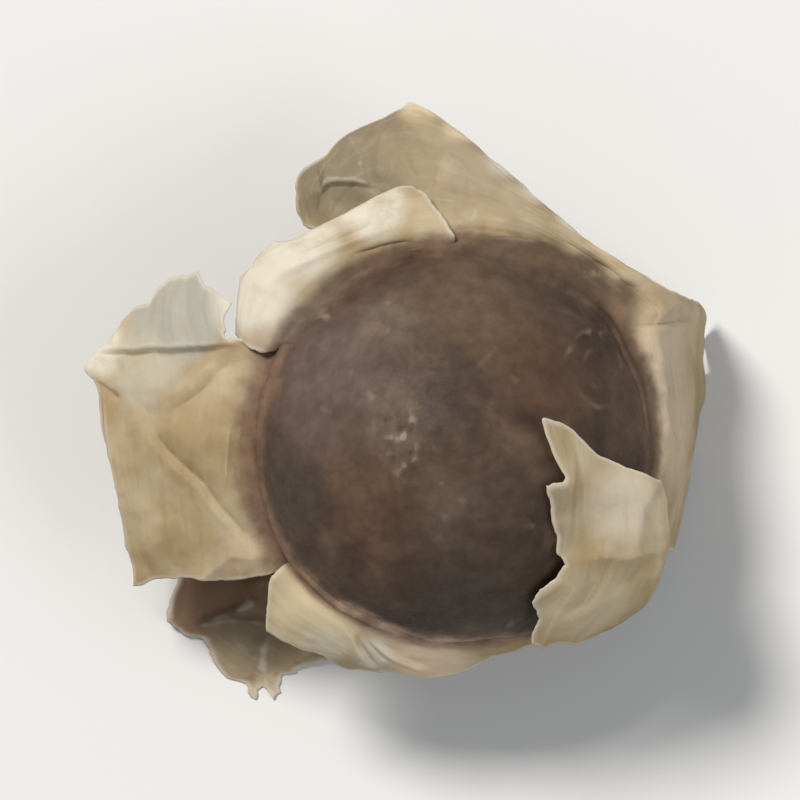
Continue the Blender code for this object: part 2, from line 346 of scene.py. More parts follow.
WING_TINTS = (
    ((-7.8, 3.9, 0.5), 1.3, 1.9, COOL, 1.0),
    ((-9.9, 2.7, -0.6), 0.5, 1.0, WHITE, 1.0),
    ((-8.6, 2.1, 0.1), 0.6, 1.5, PALE, 0.9),
    ((-7.2, 0.4, 0.6), 0.6, 1.5, STRAW, 0.9),
    ((-8.0, -2.8, -0.8), 0.8, 2.0, STRAW, 0.25),
    ((-6.2, -3.3, 0.0), 0.4, 1.0, PINK, 0.4),
    ((-5.6, 4.2, 1.4), 0.7, 1.6, WHITE, 1.0),
    ((-5.2, 2.8, 1.4), 0.3, 0.9, PINK, 0.5),
    ((-4.3, 5.7, 1.2), 0.8, 1.5, WHITE, 1.0),
    ((-2.3, 6.7, 1.1), 0.7, 1.3, WHITE, 1.0),
    ((0.2, 7.8, -0.2), 1.2, 2.2, TAN, 0.9),
    ((2.6, 6.4, 0.4), 0.8, 1.8, TAN, 0.7),
    ((-2.8, 7.9, -1.2), 1.6, 2.6, OLIVE, 1.0),
    ((-1.2, 8.0, -0.8), 0.4, 1.2, STRAW, 0.5),
    ((-0.9, 9.5, -0.9), 0.2, 0.8, YELLOW, 0.9),
    ((0.2, 8.8, -0.6), 0.3, 0.8, YELLOW, 0.9),
    ((1.3, 7.9, -0.2), 0.3, 0.8, WHITE, 0.8),
    ((2.3, 7.1, 0.0), 0.3, 0.8, WHITE, 0.8),
    ((3.3, 6.2, 0.3), 0.3, 0.8, WHITE, 0.8),
    ((4.3, 5.5, 0.4), 0.3, 0.8, YELLOW, 0.9),
    ((-0.2, 5.4, 1.7), 0.3, 0.9, PINK, 0.6),
    # The membrane between the hull and the top strip: its own dark brown, deepened as painted shade below
    # the strip's raised edge
    ((1.2, 5.2, 1.8), 0.8, 1.3, MEMBRANE, 0.95),
    ((2.5, 5.0, 1.5), 0.8, 1.25, MEMBRANE, 0.95),
    ((3.6, 4.6, 1.2), 0.7, 1.1, MEMBRANE, 0.95),
    ((4.6, 4.0, 1.0), 0.5, 1.0, MEMBRANE, 0.9),
    ((5.7, 3.8, 0.3), 0.4, 1.1, STRAW, 0.6),
    ((6.2, 1.4, 0.0), 1.6, 3.2, GREY, 1.0),
    ((4.6, -1.6, 3.4), 0.6, 1.5, WHITE, 0.5),
    ((5.8, -1.8, 2.2), 0.4, 0.9, YELLOW, 0.8),
    ((2.9, 0.1, 4.7), 0.3, 0.9, STRAW, 0.6),
    # Painted shade: the peeled flap's curled-up left strip, turned away from the light, is tinted tan-brown
    ((2.85, -1.5, 4.3), 0.3, 0.75, TAN, 1.0),
    ((2.9, -2.5, 3.8), 0.2, 0.7, TAN, 0.9),
    ((4.2, -2.8, 2.9), 0.1, 0.5, WHITE, 0.8),
    ((3.8, -4.5, 2.2), 0.9, 1.8, YELLOW, 0.7),
    ((-4.0, -4.9, 0.4), 0.8, 1.6, YELLOW, 0.9),
    ((-3.4, -5.3, 0.5), 0.3, 1.0, WHITE, 0.7),
    ((-2.2, -5.8, 0.5), 0.3, 0.8, WHITE, 0.8),
    ((-0.6, -6.1, 0.2), 0.6, 1.6, ROSE, 0.9),
    # Painted shade: the third wing lies under the hull, in its shade, so it is tinted brown
    ((-6.9, -4.3, -5.0), 1.1, 1.7, SHADE_BROWN, 0.95),
    ((-5.4, -4.4, -5.0), 0.7, 1.2, SHADE_BROWN, 0.9),
    ((-6.0, -6.0, -5.1), 0.8, 1.8, OLIVE, 0.8),
    ((-5.2, -6.9, -5.1), 0.2, 0.7, CREAM, 0.8),
)
ROOT_TINTS = (
    ((-2.3, -4.9, 1.2), 0.9, 2.4, PINK, 0.9),
    ((-1.2, -5.4, 0.8), 0.9, 2.0, PINK, 0.9),
    ((0.8, -5.6, 0.3), 0.6, 2.0, PINK, 0.6),
    ((-4.0, 4.0, 1.3), 0.9, 2.2, HULL_PALE, 0.8),
    # The membrane at the hull's top: its own dark brown, deepened as painted shade below the top strip's
    # edge
    ((2.4, 4.8, 1.8), 1.4, 3.2, MEMBRANE, 0.9),
    ((5.2, 1.5, 0.8), 1.2, 2.6, MEMBRANE, 0.7),
)


def hull_colour(tree, place):
    """The hull's mottled grey-brown, warmer on the right; darker below and lighter mauve-grey on the upper
    left, partly its own colour and partly painted shade and light.
    """
    colour = laid(tree, HULL_DARK, HULL_BROWN, cloud(tree, place, 0.36, 3.0, 0.5, 0.5), 0.32, 0.60)
    colour = laid(tree, colour, HULL_TAN, cloud(tree, place, 0.6, 3.0, 0.55, 0.4), 0.46, 0.74)
    broken = spread(tree, cloud(tree, place, 0.8, 3.0, 0.5), 0.25, 0.6, 0.5, 1.0)
    colour = tinted(tree, colour, place, broken, HULL_TINTS)
    mottle = spread(tree, cloud(tree, place, 1.9, 5.0, 0.6), 0.3, 0.7, 0.82, 1.16)
    colour = shaded(tree, colour, mottle)
    marks = attribute(tree, "crease")
    colour = laid(tree, colour, SPECK, marks, 0.05, 1.1, 0.8)
    return laid(tree, colour, HULL_DARK, marks, -0.05, -1.0, 0.9)


def paper_colour(tree, place):
    """The wings' cream to straw, with fine streaks along each wing, a painted highlight along crests,
    painted shade in grooves and paler rims, partly as a painted highlight.
    """
    stretched = vector_maths(tree, "MULTIPLY", attribute(tree, "run", "Vector"), (0.5, 3.4, 1.0))
    streaks = cloud(tree, stretched, 1.0, 4.0, 0.6, 0.35)
    crease = attribute(tree, "crease")
    colour = laid(tree, CREAM, STRAW, cloud(tree, place, 0.45), 0.38, 0.64)
    broken = spread(tree, cloud(tree, place, 1.1, 4.0, 0.6), 0.25, 0.55, 0.55, 1.0)
    colour = tinted(tree, colour, place, broken, WING_TINTS)
    darker = mix(tree, 1.0, colour, (0.78, 0.70, 0.58), "MULTIPLY")
    painted_groove_shade = mix(tree, 1.0, colour, (0.60, 0.50, 0.38), "MULTIPLY")
    paler = mix(tree, 0.5, colour, WHITE)
    colour = laid(tree, colour, darker, streaks, 0.5, 0.75, 0.4)
    colour = laid(tree, colour, paler, streaks, 0.45, 0.25, 0.3)
    # Painted highlight along the crests of folds, and painted shade down in their grooves
    colour = laid(tree, colour, paler, crease, 0.2, 1.0, 0.8)
    colour = laid(tree, colour, painted_groove_shade, crease, -0.2, -1.0, 0.8)
    # Torn rims mixed towards white: partly the thin edge's own paleness, partly a painted highlight
    return mix(tree, maths(tree, "MULTIPLY", attribute(tree, "rim"), 0.6), colour, WHITE)


def seed_coat(name, see_light):
    """The seed coat's material. The paper value of a point takes it from hull skin to wing."""
    material = bpy.data.materials.new(name)
    material.use_nodes = True
    tree = material.node_tree
    place = place_in_mm(tree)
    paper = attribute(tree, "paper")
    wobble = spread(tree, cloud(tree, place, 1.3), 0.3, 0.7, -0.10, 0.10)
    wobble = maths(tree, "MULTIPLY", wobble, spread(tree, paper, 0.0, 0.2))
    paper = put(tree, "ShaderNodeClamp", {"Value": maths(tree, "ADD", paper, wobble)}).outputs[0]
    mottle = spread(tree, cloud(tree, place, 1.8, 5.0, 0.62), 0.3, 0.7, 0.80, 1.16)
    root = shaded(tree, tinted(tree, ROOT_TAN, place, 1.0, ROOT_TINTS), mottle)
    colour = laid(tree, hull_colour(tree, place), root, paper, 0.0, ROOT_PAPER)
    colour = laid(tree, colour, paper_colour(tree, place), paper, 0.36, 1.0)
    grain = cloud(tree, place, 9.0, 5.0, 0.7)
    rough = mix(tree, paper, (SKIN_ROUGHNESS,) * 3, (PAPER_ROUGHNESS,) * 3)
    rough = maths(tree, "ADD", rough, spread(tree, grain, 0.3, 0.7, -0.08, 0.1))
    bump = put(tree, "ShaderNodeBump", {"Strength": 0.3, "Distance": 0.03 * MM, "Height": grain}).outputs[0]
    shader = tree.nodes["Principled BSDF"]
    shader.inputs["Specular IOR Level"].default_value = 0.18
    for key, value in (("Base Color", colour), ("Roughness", rough), ("Normal", bump)):
        tree.links.new(value, shader.inputs[key])
    if see_light:
        glow = put(tree, "ShaderNodeBsdfTranslucent", {"Color": colour, "Normal": bump}).outputs[0]
        share = maths(tree, "MULTIPLY", paper, see_light)
        both = put(tree, "ShaderNodeMixShader", {0: share, 1: shader.outputs[0], 2: glow}).outputs[0]
        tree.links.new(both, tree.nodes["Material Output"].inputs["Surface"])
    return material


# The wings' nets: stations that follow each other along the hull, each from the hull to the wing's rim. A
# point given as two numbers is inside the hull, at an azimuth and a latitude.
NETS = {
    # The left wing's middle: a flap at its top, then a panel that hangs outwards
    "left_wing": [
        [(-6.0, 4.1, 0.9), (-7.0, 5.0, 0.6), (-8.2, 4.7, -0.1), (-9.3, 3.7, -0.9)],
        [(-5.6, 3.2, 1.2), (-7.0, 3.6, 0.9), (-8.4, 3.5, 0.1), (-9.9, 2.8, -0.8)],
        [(LEFT, 26), (-6.6, 2.6, 1.0), (-8.4, 2.6, 0.2), (-10.3, 2.2, -0.8)],
        [(LEFT, 15), (-6.5, 1.6, 1.1), (-8.3, 1.4, 0.3), (-10.0, 1.4, -0.7)],
        [(LEFT, 3), (-6.7, 0.2, 1.0), (-8.3, 0.1, 0.0), (-9.8, 0.2, -1.0)],
        [(LEFT, -10), (-6.7, -1.2, 0.6), (-8.2, -1.3, -0.4), (-9.6, -1.2, -1.3)],
        [(LEFT, -24), (-6.5, -2.5, 0.2), (-8.0, -2.6, -0.9), (-9.3, -2.6, -1.9)],
        [(LEFT, -38), (-6.3, -3.7, -0.3), (-7.7, -3.7, -1.4), (-9.0, -3.9, -2.4)],
    ],
    # The left wing's upper part, a collar round the hull's upper left side that folds down along its rim
    "collar": [
        [(LEFT, 24), (-5.4, 2.5, 1.6), (-5.8, 2.8, 1.4), (-6.1, 3.1, 0.9)],
        [(LEFT, 34), (-4.9, 3.5, 1.7), (-5.6, 3.9, 1.5), (-6.0, 4.2, 0.9)],
        [(LEFT, 45), (-4.3, 4.3, 1.7), (-5.0, 4.9, 1.6), (-5.5, 5.3, 0.9)],
        [(LEFT, 56), (-3.4, 5.0, 1.6), (-4.0, 5.6, 1.5), (-4.3, 6.0, 0.9)],
        [(-66, 66), (-2.4, 5.5, 1.5), (-2.8, 6.2, 1.4), (-3.0, 6.6, 0.9)],
        [(-54, 75), (-1.5, 5.9, 1.4), (-1.7, 6.6, 1.2), (-1.8, 7.1, 0.8)],
        [(-20, 80), (-0.7, 6.0, 1.3), (-0.75, 6.6, 1.1), (-0.8, 7.1, 0.6)],
        [(20, 78), (0.1, 5.9, 1.3), (0.0, 6.2, 1.0), (-0.1, 6.4, 0.6)],
    ],
    # The right wing, from under the collar, over the upper pole and down the hull's right side
    "right_wing": [
        [(-66, 68), (-2.9, 5.4, -0.7), (-3.4, 5.8, -1.2), (-3.8, 6.0, -1.7), (-4.1, 6.2, -2.2)],
        [(-56, 72), (-2.3, 5.9, -0.4), (-3.0, 6.7, -0.9), (-3.7, 7.3, -1.4), (-4.4, 7.6, -2.0)],
        [(-38, 70), (-1.5, 6.2, 0.0), (-2.1, 7.2, -0.6), (-2.8, 8.3, -1.2), (-3.1, 8.9, -1.7)],
        [(-15, 62), (-0.8, 6.0, 0.8), (-0.9, 7.3, -0.1), (-1.1, 8.9, -0.6), (-1.2, 9.7, -1.1)],
        [(8, 57), (0.3, 6.1, 0.9), (0.3, 7.2, 0.3), (0.4, 8.3, 0.0), (0.6, 8.7, -0.7)],
        [(30, 53), (1.8, 6.0, 0.8), (1.9, 6.6, 0.5), (2.0, 7.1, 0.4), (2.1, 7.5, -0.5)],
        [(48, 47), (3.1, 5.5, 0.8), (3.4, 5.8, 0.8), (3.7, 6.0, 0.6), (3.9, 6.1, -0.6)],
        [(62, 41), (4.3, 4.7, 0.7), (4.7, 4.9, 0.8), (5.0, 5.1, 0.5), (5.2, 5.2, -1.5)],
        [(RIGHT, 34), (5.5, 3.7, 0.7), (6.0, 3.9, 0.4), (6.6, 4.1, -0.7), (7.1, 4.0, -4.4)],
        [(RIGHT, 24), (5.7, 2.8, 1.0), (6.2, 2.9, -0.4), (6.7, 3.0, -2.6), (7.2, 3.0, -5.5)],
        [(RIGHT, 12), (5.9, 1.5, 1.0), (6.4, 1.5, -0.5), (6.8, 1.5, -2.7), (7.2, 1.4, -5.5)],
        [(RIGHT, 0), (6.0, 0.2, 1.0), (6.4, 0.1, -0.5), (6.7, 0.1, -2.6), (7.0, 0.0, -5.4)],
        [(RIGHT, -12), (5.9, -1.2, 0.9), (6.2, -1.3, -0.5), (6.5, -1.4, -2.3), (6.6, -1.5, -4.7)],
        [(RIGHT, -24), (5.6, -2.5, 0.9), (5.9, -2.7, -0.4), (6.1, -2.9, -1.9), (6.2, -3.0, -3.7)],
    ],
    # The right wing's lower part, torn off short and folded back over the hull's face
    "peeled_flap": [
        [(78, -9), (5.8, -1.0, 1.7), (5.7, -0.9, 2.5), (4.4, -0.3, 3.5), (2.4, 0.9, 4.9)],
        [(78, -16), (6.0, -1.8, 1.5), (5.9, -1.8, 2.4), (4.5, -1.2, 3.5), (2.8, -0.8, 4.5)],
        [(78, -24), (6.0, -2.7, 1.2), (5.9, -2.9, 2.1), (4.4, -2.4, 3.1), (2.8, -2.3, 3.9)],
        [(76, -38), (5.7, -4.0, 0.8), (5.5, -4.2, 1.6), (4.1, -3.8, 2.5), (2.7, -3.7, 3.2)],
        [(72, -48), (5.1, -4.8, 0.6), (4.8, -4.8, 1.1), (3.6, -4.7, 2.0), (2.3, -4.6, 2.5)],
        [(62, -60), (4.1, -5.4, 0.4), (3.8, -5.4, 0.8), (3.1, -5.4, 1.3), (2.2, -5.4, 1.8)],
    ],
    # Where the left and right wings run on past the lower pole and meet
    "lower_band": [
        [(LEFT, -28), (-4.9, -3.5, 1.0), (-5.1, -4.3, 0.5), (-5.3, -5.2, -0.3)],
        [(-68, -42), (-4.1, -4.4, 1.2), (-4.2, -5.0, 0.7), (-4.4, -5.7, -0.2)],
        [(-56, -54), (-3.1, -5.1, 1.1), (-3.1, -5.6, 0.6), (-3.2, -6.1, -0.3)],
        [(-34, -66), (-1.9, -5.6, 0.8), (-1.9, -6.0, 0.3), (-1.9, -6.4, -0.5)],
        [(0, -72), (-0.6, -5.9, 0.5), (-0.6, -6.3, 0.0), (-0.6, -6.7, -0.8)],
        [(36, -70), (0.8, -5.9, 0.5), (0.9, -6.2, 0.0), (1.0, -6.5, -0.7)],
        [(56, -62), (2.0, -5.6, 0.5), (2.1, -5.8, 0.2), (2.3, -5.9, -0.4)],
    ],
    # The wing under the hull, folded flat to the left, which the seed lies on
    "third_wing": [
        [(BACK, 58), (-1.5, 4.9, -4.9), (-2.7, 6.0, -5.1), (-3.7, 6.8, -4.7)],
        [(BACK, 42), (-1.8, 3.8, -5.2), (-3.6, 4.6, -5.25), (-4.9, 5.1, -5.0)],
        [(BACK, 24), (-1.9, 2.2, -5.25), (-3.9, 2.5, -5.25), (-5.6, 2.8, -5.1)],
        [(BACK, 6), (-2.0, 0.5, -5.25), (-4.2, 0.4, -5.25), (-6.6, 0.3, -5.0)],
        [(BACK, -12), (-2.0, -1.2, -5.25), (-4.6, -1.7, -5.25), (-7.4, -2.2, -4.8)],
        [(BACK, -28), (-2.0, -2.9, -5.25), (-4.9, -3.6, -5.1), (-8.1, -4.6, -4.9)],
        [(BACK, -42), (-1.9, -4.2, -5.1), (-4.1, -5.1, -5.0), (-6.9, -6.0, -5.3)],
        [(BACK, -54), (-1.7, -5.0, -4.9), (-3.2, -6.0, -5.0), (-5.0, -7.1, -5.35)],
    ],
}

# Where each wing is torn off: an outline seen from above, from the hull's side round to the hull's side. A
# point of three numbers has its height too, and a whole number is the end of that station of the net.
OUTLINES = {
    "left_wing": [
        (-5.6, 2.95), (-6.35, 3.05), (-6.4, 3.5), (-6.17, 4.0), (-6.6, 4.3), (-6.95, 4.5), (-7.15, 4.92),
        (-7.5, 4.78), (-7.95, 4.7), (-8.3, 4.4), (-8.5, 4.05), (-9.0, 3.9), (-9.35, 3.5), (-9.6, 3.1),
        (-9.95, 2.75), (-10.38, 2.15), (-10.1, 1.85), (-9.95, 1.2), (-9.8, 0.2), (-9.6, -0.9), (-9.4, -1.9),
        (-9.25, -2.8), (-9.05, -3.4), (-9.05, -4.0), (-8.75, -3.95), (-8.4, -3.75), (-7.6, -3.72),
        (-7.0, -3.8), (-6.2, -3.78), (-5.3, -3.65), (-4.6, -3.4),
    ],
    "collar": [
        (-4.85, 2.72), (-5.3, 2.66), (-5.75, 2.82), (-6.1, 3.15), (-6.05, 3.9), (-5.95, 4.75), (-5.6, 5.0),
        (-5.45, 5.35), (-5.2, 5.6), (-4.95, 5.77), (-4.6, 5.78), (-4.0, 6.05), (-3.0, 6.55), (-2.0, 7.05),
        (-1.5, 7.27), (-1.1, 7.28), (-0.8, 7.1), (-0.55, 6.75), (-0.2, 6.3), (0.05, 5.9), (0.1, 5.5),
    ],
    "right_wing": [
        (-2.6, 5.2), (-3.6, 5.95), (-3.9, 6.15), (-4.2, 6.2), (-4.42, 6.6), (-4.45, 7.2), (-4.35, 7.7),
        (-4.05, 7.95), (-3.55, 8.25), (-3.1, 8.75), (-2.6, 9.0), (-1.95, 9.25), (-1.5, 9.5), (-1.25, 9.7),
        (-0.95, 9.62), (0.0, 9.02), (1.0, 8.15), (2.0, 7.35), (3.0, 6.45), (4.0, 5.65), (5.0, 5.02),
        (6.1, 4.35), (6.7, 4.15), 8, (7.15, 3.4, -5.1), (7.2, 2.9, -5.4), (7.15, 2.4, -4.9),
        (7.2, 1.9, -5.4), 10, (7.1, 0.8, -5.0), 11, (6.8, -0.7, -4.6), 12, (6.4, -2.2, -3.9), 13,
        (5.2, -2.6),
    ],
    "peeled_flap": [
        (5.8, -1.0, 1.7), (5.7, -0.9, 2.5), (5.5, -0.8), (5.0, -0.62), (4.5, -0.4), (4.0, -0.15),
        (3.6, 0.25), (3.35, 0.5), (2.9, 0.75), (2.5, 0.9), (2.38, 0.8), (2.55, 0.3), (2.7, -0.1),
        (3.1, -0.85), (3.05, -0.98), (2.55, -1.05), (2.65, -1.7), (2.82, -2.5), (2.9, -3.0), (3.15, -3.3),
        (2.9, -3.62), (2.4, -4.0), (2.25, -4.35), (2.4, -4.8), (2.2, -5.55), (2.5, -5.68), (2.95, -5.5),
        (3.5, -5.6), (4.2, -5.58), (4.45, -5.3), (5.0, -5.0, 0.5),
    ],
    "lower_band": [
        (-4.4, -3.2), (-5.1, -3.65), (-5.2, -4.4), (-5.25, -5.22), (-4.8, -5.45), (-4.4, -5.65),
        (-3.6, -5.95), (-2.9, -6.3), (-2.0, -6.4), (-1.0, -6.55), (-0.3, -6.5), (0.5, -6.3), (1.1, -6.0),
        (1.8, -5.8), (2.3, -5.6), (2.2, -5.0),
    ],
    "third_wing": [
        (-0.5, 4.6), (-2.6, 6.1), (-3.6, 6.5), (-3.9, 6.0), (-4.9, 5.1), (-5.5, 3.4), (-6.3, 1.8),
        (-6.9, 0.0), (-7.5, -2.0), (-7.85, -3.6), (-7.95, -4.2), (-8.15, -5.05), (-7.8, -5.25),
        (-7.55, -5.45), (-7.0, -5.5), (-6.85, -6.0), (-6.4, -6.65), (-5.9, -6.8), (-5.65, -7.25),
        (-5.4, -6.95), (-5.2, -7.35), (-4.85, -7.1), (-4.75, -6.6), (-4.3, -6.4), (-3.2, -6.0),
        (-1.7, -5.0), (-0.5, -4.6),
    ],
}

# The folds of each wing: how far one stands up or down, how soon the sheet falls back on the left and on the
# right of its path, and the path
FOLDS = {
    "left_wing": [
        (0.2, 1.9, 0.14, (-9.9, 2.66), (-8.9, 2.72), (-7.9, 2.78), (-6.9, 2.85), (-6.1, 2.92)),
        (0.1, 0.35, 0.9, (-5.8, 3.0), (-6.5, 2.62), (-7.4, 1.72), (-8.3, 1.22)),
        (-0.07, 0.5, 0.15, (-6.3, 2.4), (-7.2, 1.5), (-8.0, 0.9)),
        (-0.17, 0.6, 0.26, (-8.5, 0.7), (-8.0, -0.1), (-7.0, -1.1), (-6.4, -1.9), (-5.5, -2.8)),
        (0.06, 0.5, 0.5, (-8.45, 2.6), (-8.6, 1.4)),
        (0.07, 0.12, 0.2, (-6.25, 0.5), (-6.35, -1.0)),
        (0.05, 0.1, 0.14, (-5.9, 0.9), (-5.95, -1.2)),
        (0.12, 0.5, 0.12, (-9.95, 1.8), (-9.58, -0.3), (-9.25, -2.0), (-8.95, -3.9)),
        (0.16, 0.5, 0.6, (-7.2, -3.9), (-6.2, -3.05), (-5.2, -3.1)),
        (-0.08, 0.15, 0.3, (-10.2, 1.9), (-9.3, 1.3)),
        (0.08, 0.6, 0.6, (-9.2, -0.6), (-8.2, -3.6)),
    ],
    "collar": [
        (0.12, 0.25, 0.9, (-6.0, 3.0), (-5.85, 4.5), (-5.2, 5.3), (-4.3, 5.7), (-1.4, 7.0)),
        (-0.14, 0.12, 0.25, (-2.75, 5.35), (-2.0, 5.6), (-1.1, 5.75)),
        (0.26, 0.6, 0.9, (-1.1, 7.2), (-0.5, 6.7), (0.0, 6.0), (0.1, 5.6)),
        (0.09, 0.25, 0.16, (-4.9, 4.7), (-4.0, 5.2), (-3.0, 5.65), (-1.9, 6.05)),
        (0.05, 0.25, 0.12, (-5.0, 5.2), (-4.0, 5.6), (-2.6, 6.2)),
        (0.07, 0.12, 0.15, (-3.2, 4.3), (-2.8, 4.9)),
        (0.05, 0.3, 0.3, (-5.5, 3.1), (-5.3, 4.3), (-4.7, 4.9)),
    ],
    "right_wing": [
        (0.16, 1.8, 0.6, (-0.6, 6.5), (1.2, 6.45), (2.2, 6.2), (3.2, 5.75)),
        (0.08, 0.6, 1.0, (2.9, 6.4), (4.0, 5.5), (5.2, 4.8)),
        (-0.12, 0.22, 0.25, (-0.4, 6.15), (1.2, 6.08), (2.7, 5.72)),
        (0.08, 0.12, 0.25, (0.3, 5.68), (1.3, 5.78), (2.5, 5.7)),
        (0.18, 0.8, 0.14, (-3.8, 7.2), (-3.0, 7.45), (-2.2, 7.3)),
        (0.1, 0.35, 0.6, (-1.9, 7.2), (-2.0, 8.2), (-1.6, 9.0)),
        (0.2, 1.1, 1.1, (-0.9, 9.4), (-1.4, 8.4), (-1.7, 7.3)),
        (0.14, 0.5, 0.7, (-2.9, 8.8), (-2.5, 8.1), (-2.4, 7.4)),
        (-0.14, 0.5, 0.5, (-3.9, 8.0), (-3.7, 7.2), (-4.0, 6.3)),
        (-0.14, 0.5, 0.25, (5.0, 3.35), (5.9, 3.42), (6.8, 3.45)),
        (0.12, 0.3, 0.3, (5.75, 2.9, 0.7), (5.9, 1.5, 0.8), (5.95, 0.2, 0.8)),
        (-0.1, 0.8, 0.7, (6.45, 3.0, -1.6), (6.55, 1.5, -1.4), (6.45, 0.0, -1.2)),
        (0.1, 0.3, 0.3, (6.1, 2.6, -0.2), (6.25, 1.2, -0.1), (6.15, -0.6, -0.2)),
        (0.14, 0.6, 0.6, (6.8, 3.2, -3.0), (6.6, 0.6, -2.2), (6.7, -0.4, -3.8)),
    ],
    "peeled_flap": [
        (-0.22, 1.4, 0.7, (3.2, 0.6), (3.55, -0.6), (3.65, -1.8), (3.7, -3.0)),
        (0.32, 1.3, 1.6, (2.9, -3.3), (3.7, -3.05), (4.6, -3.0), (5.8, -2.8)),
        (0.14, 0.8, 1.0, (5.7, -0.8), (5.2, -1.7), (4.9, -2.9)),
        (0.12, 0.3, 0.4, (5.9, -2.6), (5.5, -3.6), (5.0, -4.8)),
        (0.14, 0.12, 0.8, (3.35, -0.2), (3.3, -1.2), (3.2, -2.6)),
        (0.12, 0.2, 0.5, (2.3, -4.3), (3.1, -3.6)),
    ],
    "lower_band": [
        (0.3, 0.14, 1.6, (-4.3, -3.5), (-3.5, -4.4), (-2.8, -5.3), (-2.1, -6.2)),
        (-0.12, 0.6, 0.15, (-3.9, -3.6), (-3.1, -4.5), (-2.5, -5.4), (-1.9, -6.0)),
        (0.12, 0.3, 0.3, (-2.6, -5.3), (-1.6, -6.0), (-0.5, -6.4)),
        (0.07, 0.3, 0.3, (-1.8, -5.2), (0.0, -5.8), (1.6, -5.9)),
    ],
    "third_wing": [
        (0.1, 0.12, 0.3, (-7.0, -5.0), (-6.2, -4.75), (-5.6, -4.4)),
        (0.1, 0.5, 0.6, (-6.3, -5.0), (-6.1, -6.7)),
        (0.14, 0.25, 0.2, (-7.8, -3.8), (-8.0, -5.1)),
        (0.12, 0.25, 0.25, (-5.2, -5.4), (-5.2, -7.2)),
        (0.1, 0.2, 0.6, (-7.4, -5.2), (-6.4, -5.0), (-5.0, -5.1)),
    ],
}

# The swellings of each wing: a point seen from above, its radius and its height
PUFFS = {
    "left_wing": [(-7.2, 0.4, 0.7, 0.1), (-8.3, -2.4, 0.8, 0.08)],
    "collar": [(-4.4, 5.2, 0.7, 0.05)],
    "right_wing": [(-2.9, 6.9, 0.4, -0.12), (-3.2, 7.9, 0.4, 0.08)],
    "peeled_flap": [(4.2, -2.5, 0.4, 0.08), (4.1, -4.3, 0.6, 0.08)],
    "lower_band": [(-4.5, -4.8, 0.5, 0.08)],
    "third_wing": [(-6.2, -4.0, 0.5, 0.15)],
}

# How strongly each wing is crumpled, how far its torn edge strays, how far its root's colour reaches up the
# wing and over the hull, how strong that colour is, and the seed of the wing's random draws
TOUCH = {
    "left_wing": (0.8, 0.05, 1.3, 0.45, 0.8, 100),
    "collar": (0.38, 0.035, 0.8, 0.55, 0.8, 200),
    "right_wing": (0.8, 0.045, 1.0, 0.45, 0.6, 300),
    "peeled_flap": (0.6, 0.06, 0.4, 0.25, 0.5, 400),
    "lower_band": (0.6, 0.045, 0.4, 0.6, 1.0, 500),
    "third_wing": (1.15, 0.09, 0.8, 0.6, 0.7, 600),
}


def distance_run(points, axis=0):
    """How far along a line of points each one is, or the mean of that over a grid's lines along an axis."""
    steps = np.linalg.norm(np.diff(points, axis=axis), axis=-1)
    if steps.ndim == 2:
        steps = steps.mean(axis=1 - axis)
    return np.concatenate([[0.0], np.cumsum(steps)])


def sampled(grid, row, column):
    """The grid's values at fractional rows and columns."""
    row, column = np.broadcast_arrays(row, column)
    top = np.clip(np.floor(row).astype(int), 0, grid.shape[0] - 2)
    left = np.clip(np.floor(column).astype(int), 0, grid.shape[1] - 2)
    down, across = row - top, column - left
    if grid.ndim == 3:
        down, across = down[..., None], across[..., None]
    upper = grid[top, left] * (1.0 - across) + grid[top, left + 1] * across
    lower = grid[top + 1, left] * (1.0 - across) + grid[top + 1, left + 1] * across
    return upper * (1.0 - down) + lower * down


def unit_normals(grid):
    normals = np.cross(np.gradient(grid, axis=1), np.gradient(grid, axis=0))
    return normals / np.maximum(np.linalg.norm(normals, axis=2, keepdims=True), 1e-9)


def placed(point):
    """A point of a net in space."""
    return hull_points(*point, -ROOT_DEPTH) if len(point) == 2 else np.array(point)


def past(inner, end):
    """The point a margin past the end of a line that comes from an inner point."""
    return end + MARGIN * (end - inner) / np.linalg.norm(end - inner)


def smooth_run(knots):
    """A smooth curve through the knots, as some points for each span and the last knot."""
    ends = np.vstack([2 * knots[:1] - knots[1:2], knots, 2 * knots[-1:] - knots[-2:-1]])
    t = (np.arange(SPAN_STEPS) / SPAN_STEPS)[:, None]
    out = []
    for i in range(len(knots) - 1):
        before, start, end, after = ends[i : i + 4]
        pull = (end - before) * t + (2 * before - 5 * start + 4 * end - after) * t**2
        pull += (3 * start - before - 3 * end + after) * t**3
        out.append(start + 0.5 * pull)
    return np.vstack(out + [knots[-1:]])


def folded_run(points):
    """A run through the points that is flatter between them than a smooth curve, with tighter bends."""
    knots = np.array(points, dtype=float)
    spans = np.arange(len(knots))
    place = np.arange(spans[-1] * SPAN_STEPS + 1) / SPAN_STEPS
    straight = np.stack([np.interp(place, spans, knots[:, part]) for part in range(3)], axis=1)
    return FLATNESS * straight + (1.0 - FLATNESS) * smooth_run(knots)


def smooth_sheet(stations):
    """An even grid of points, facing up, on the sheet through the stations and on a margin round it."""
    net = [[*station, past(*station[-2:])] for station in stations]
    first = [past(*pair) for pair in zip(net[1], net[0])]
    last = [past(*pair) for pair in zip(net[-2], net[-1])]
    coarse = np.array([folded_run(station) for station in [first, *net, last]])
    fine = np.array([smooth_run(line) for line in coarse.transpose(1, 0, 2)])
    deep, long = distance_run(fine, 0), distance_run(fine, 1)
    row = np.interp(np.arange(0.0, deep[-1], CELL), deep, np.arange(len(deep)))
    column = np.interp(np.arange(0.0, long[-1], CELL), long, np.arange(len(long)))
    grid = sampled(fine, row[:, None], column[None, :])
    if unit_normals(grid)[..., 2].mean() < 0:
        grid = grid[:, ::-1]
    return np.stack([softened(grid[..., part], CREASE_STEPS) for part in range(3)], axis=2)


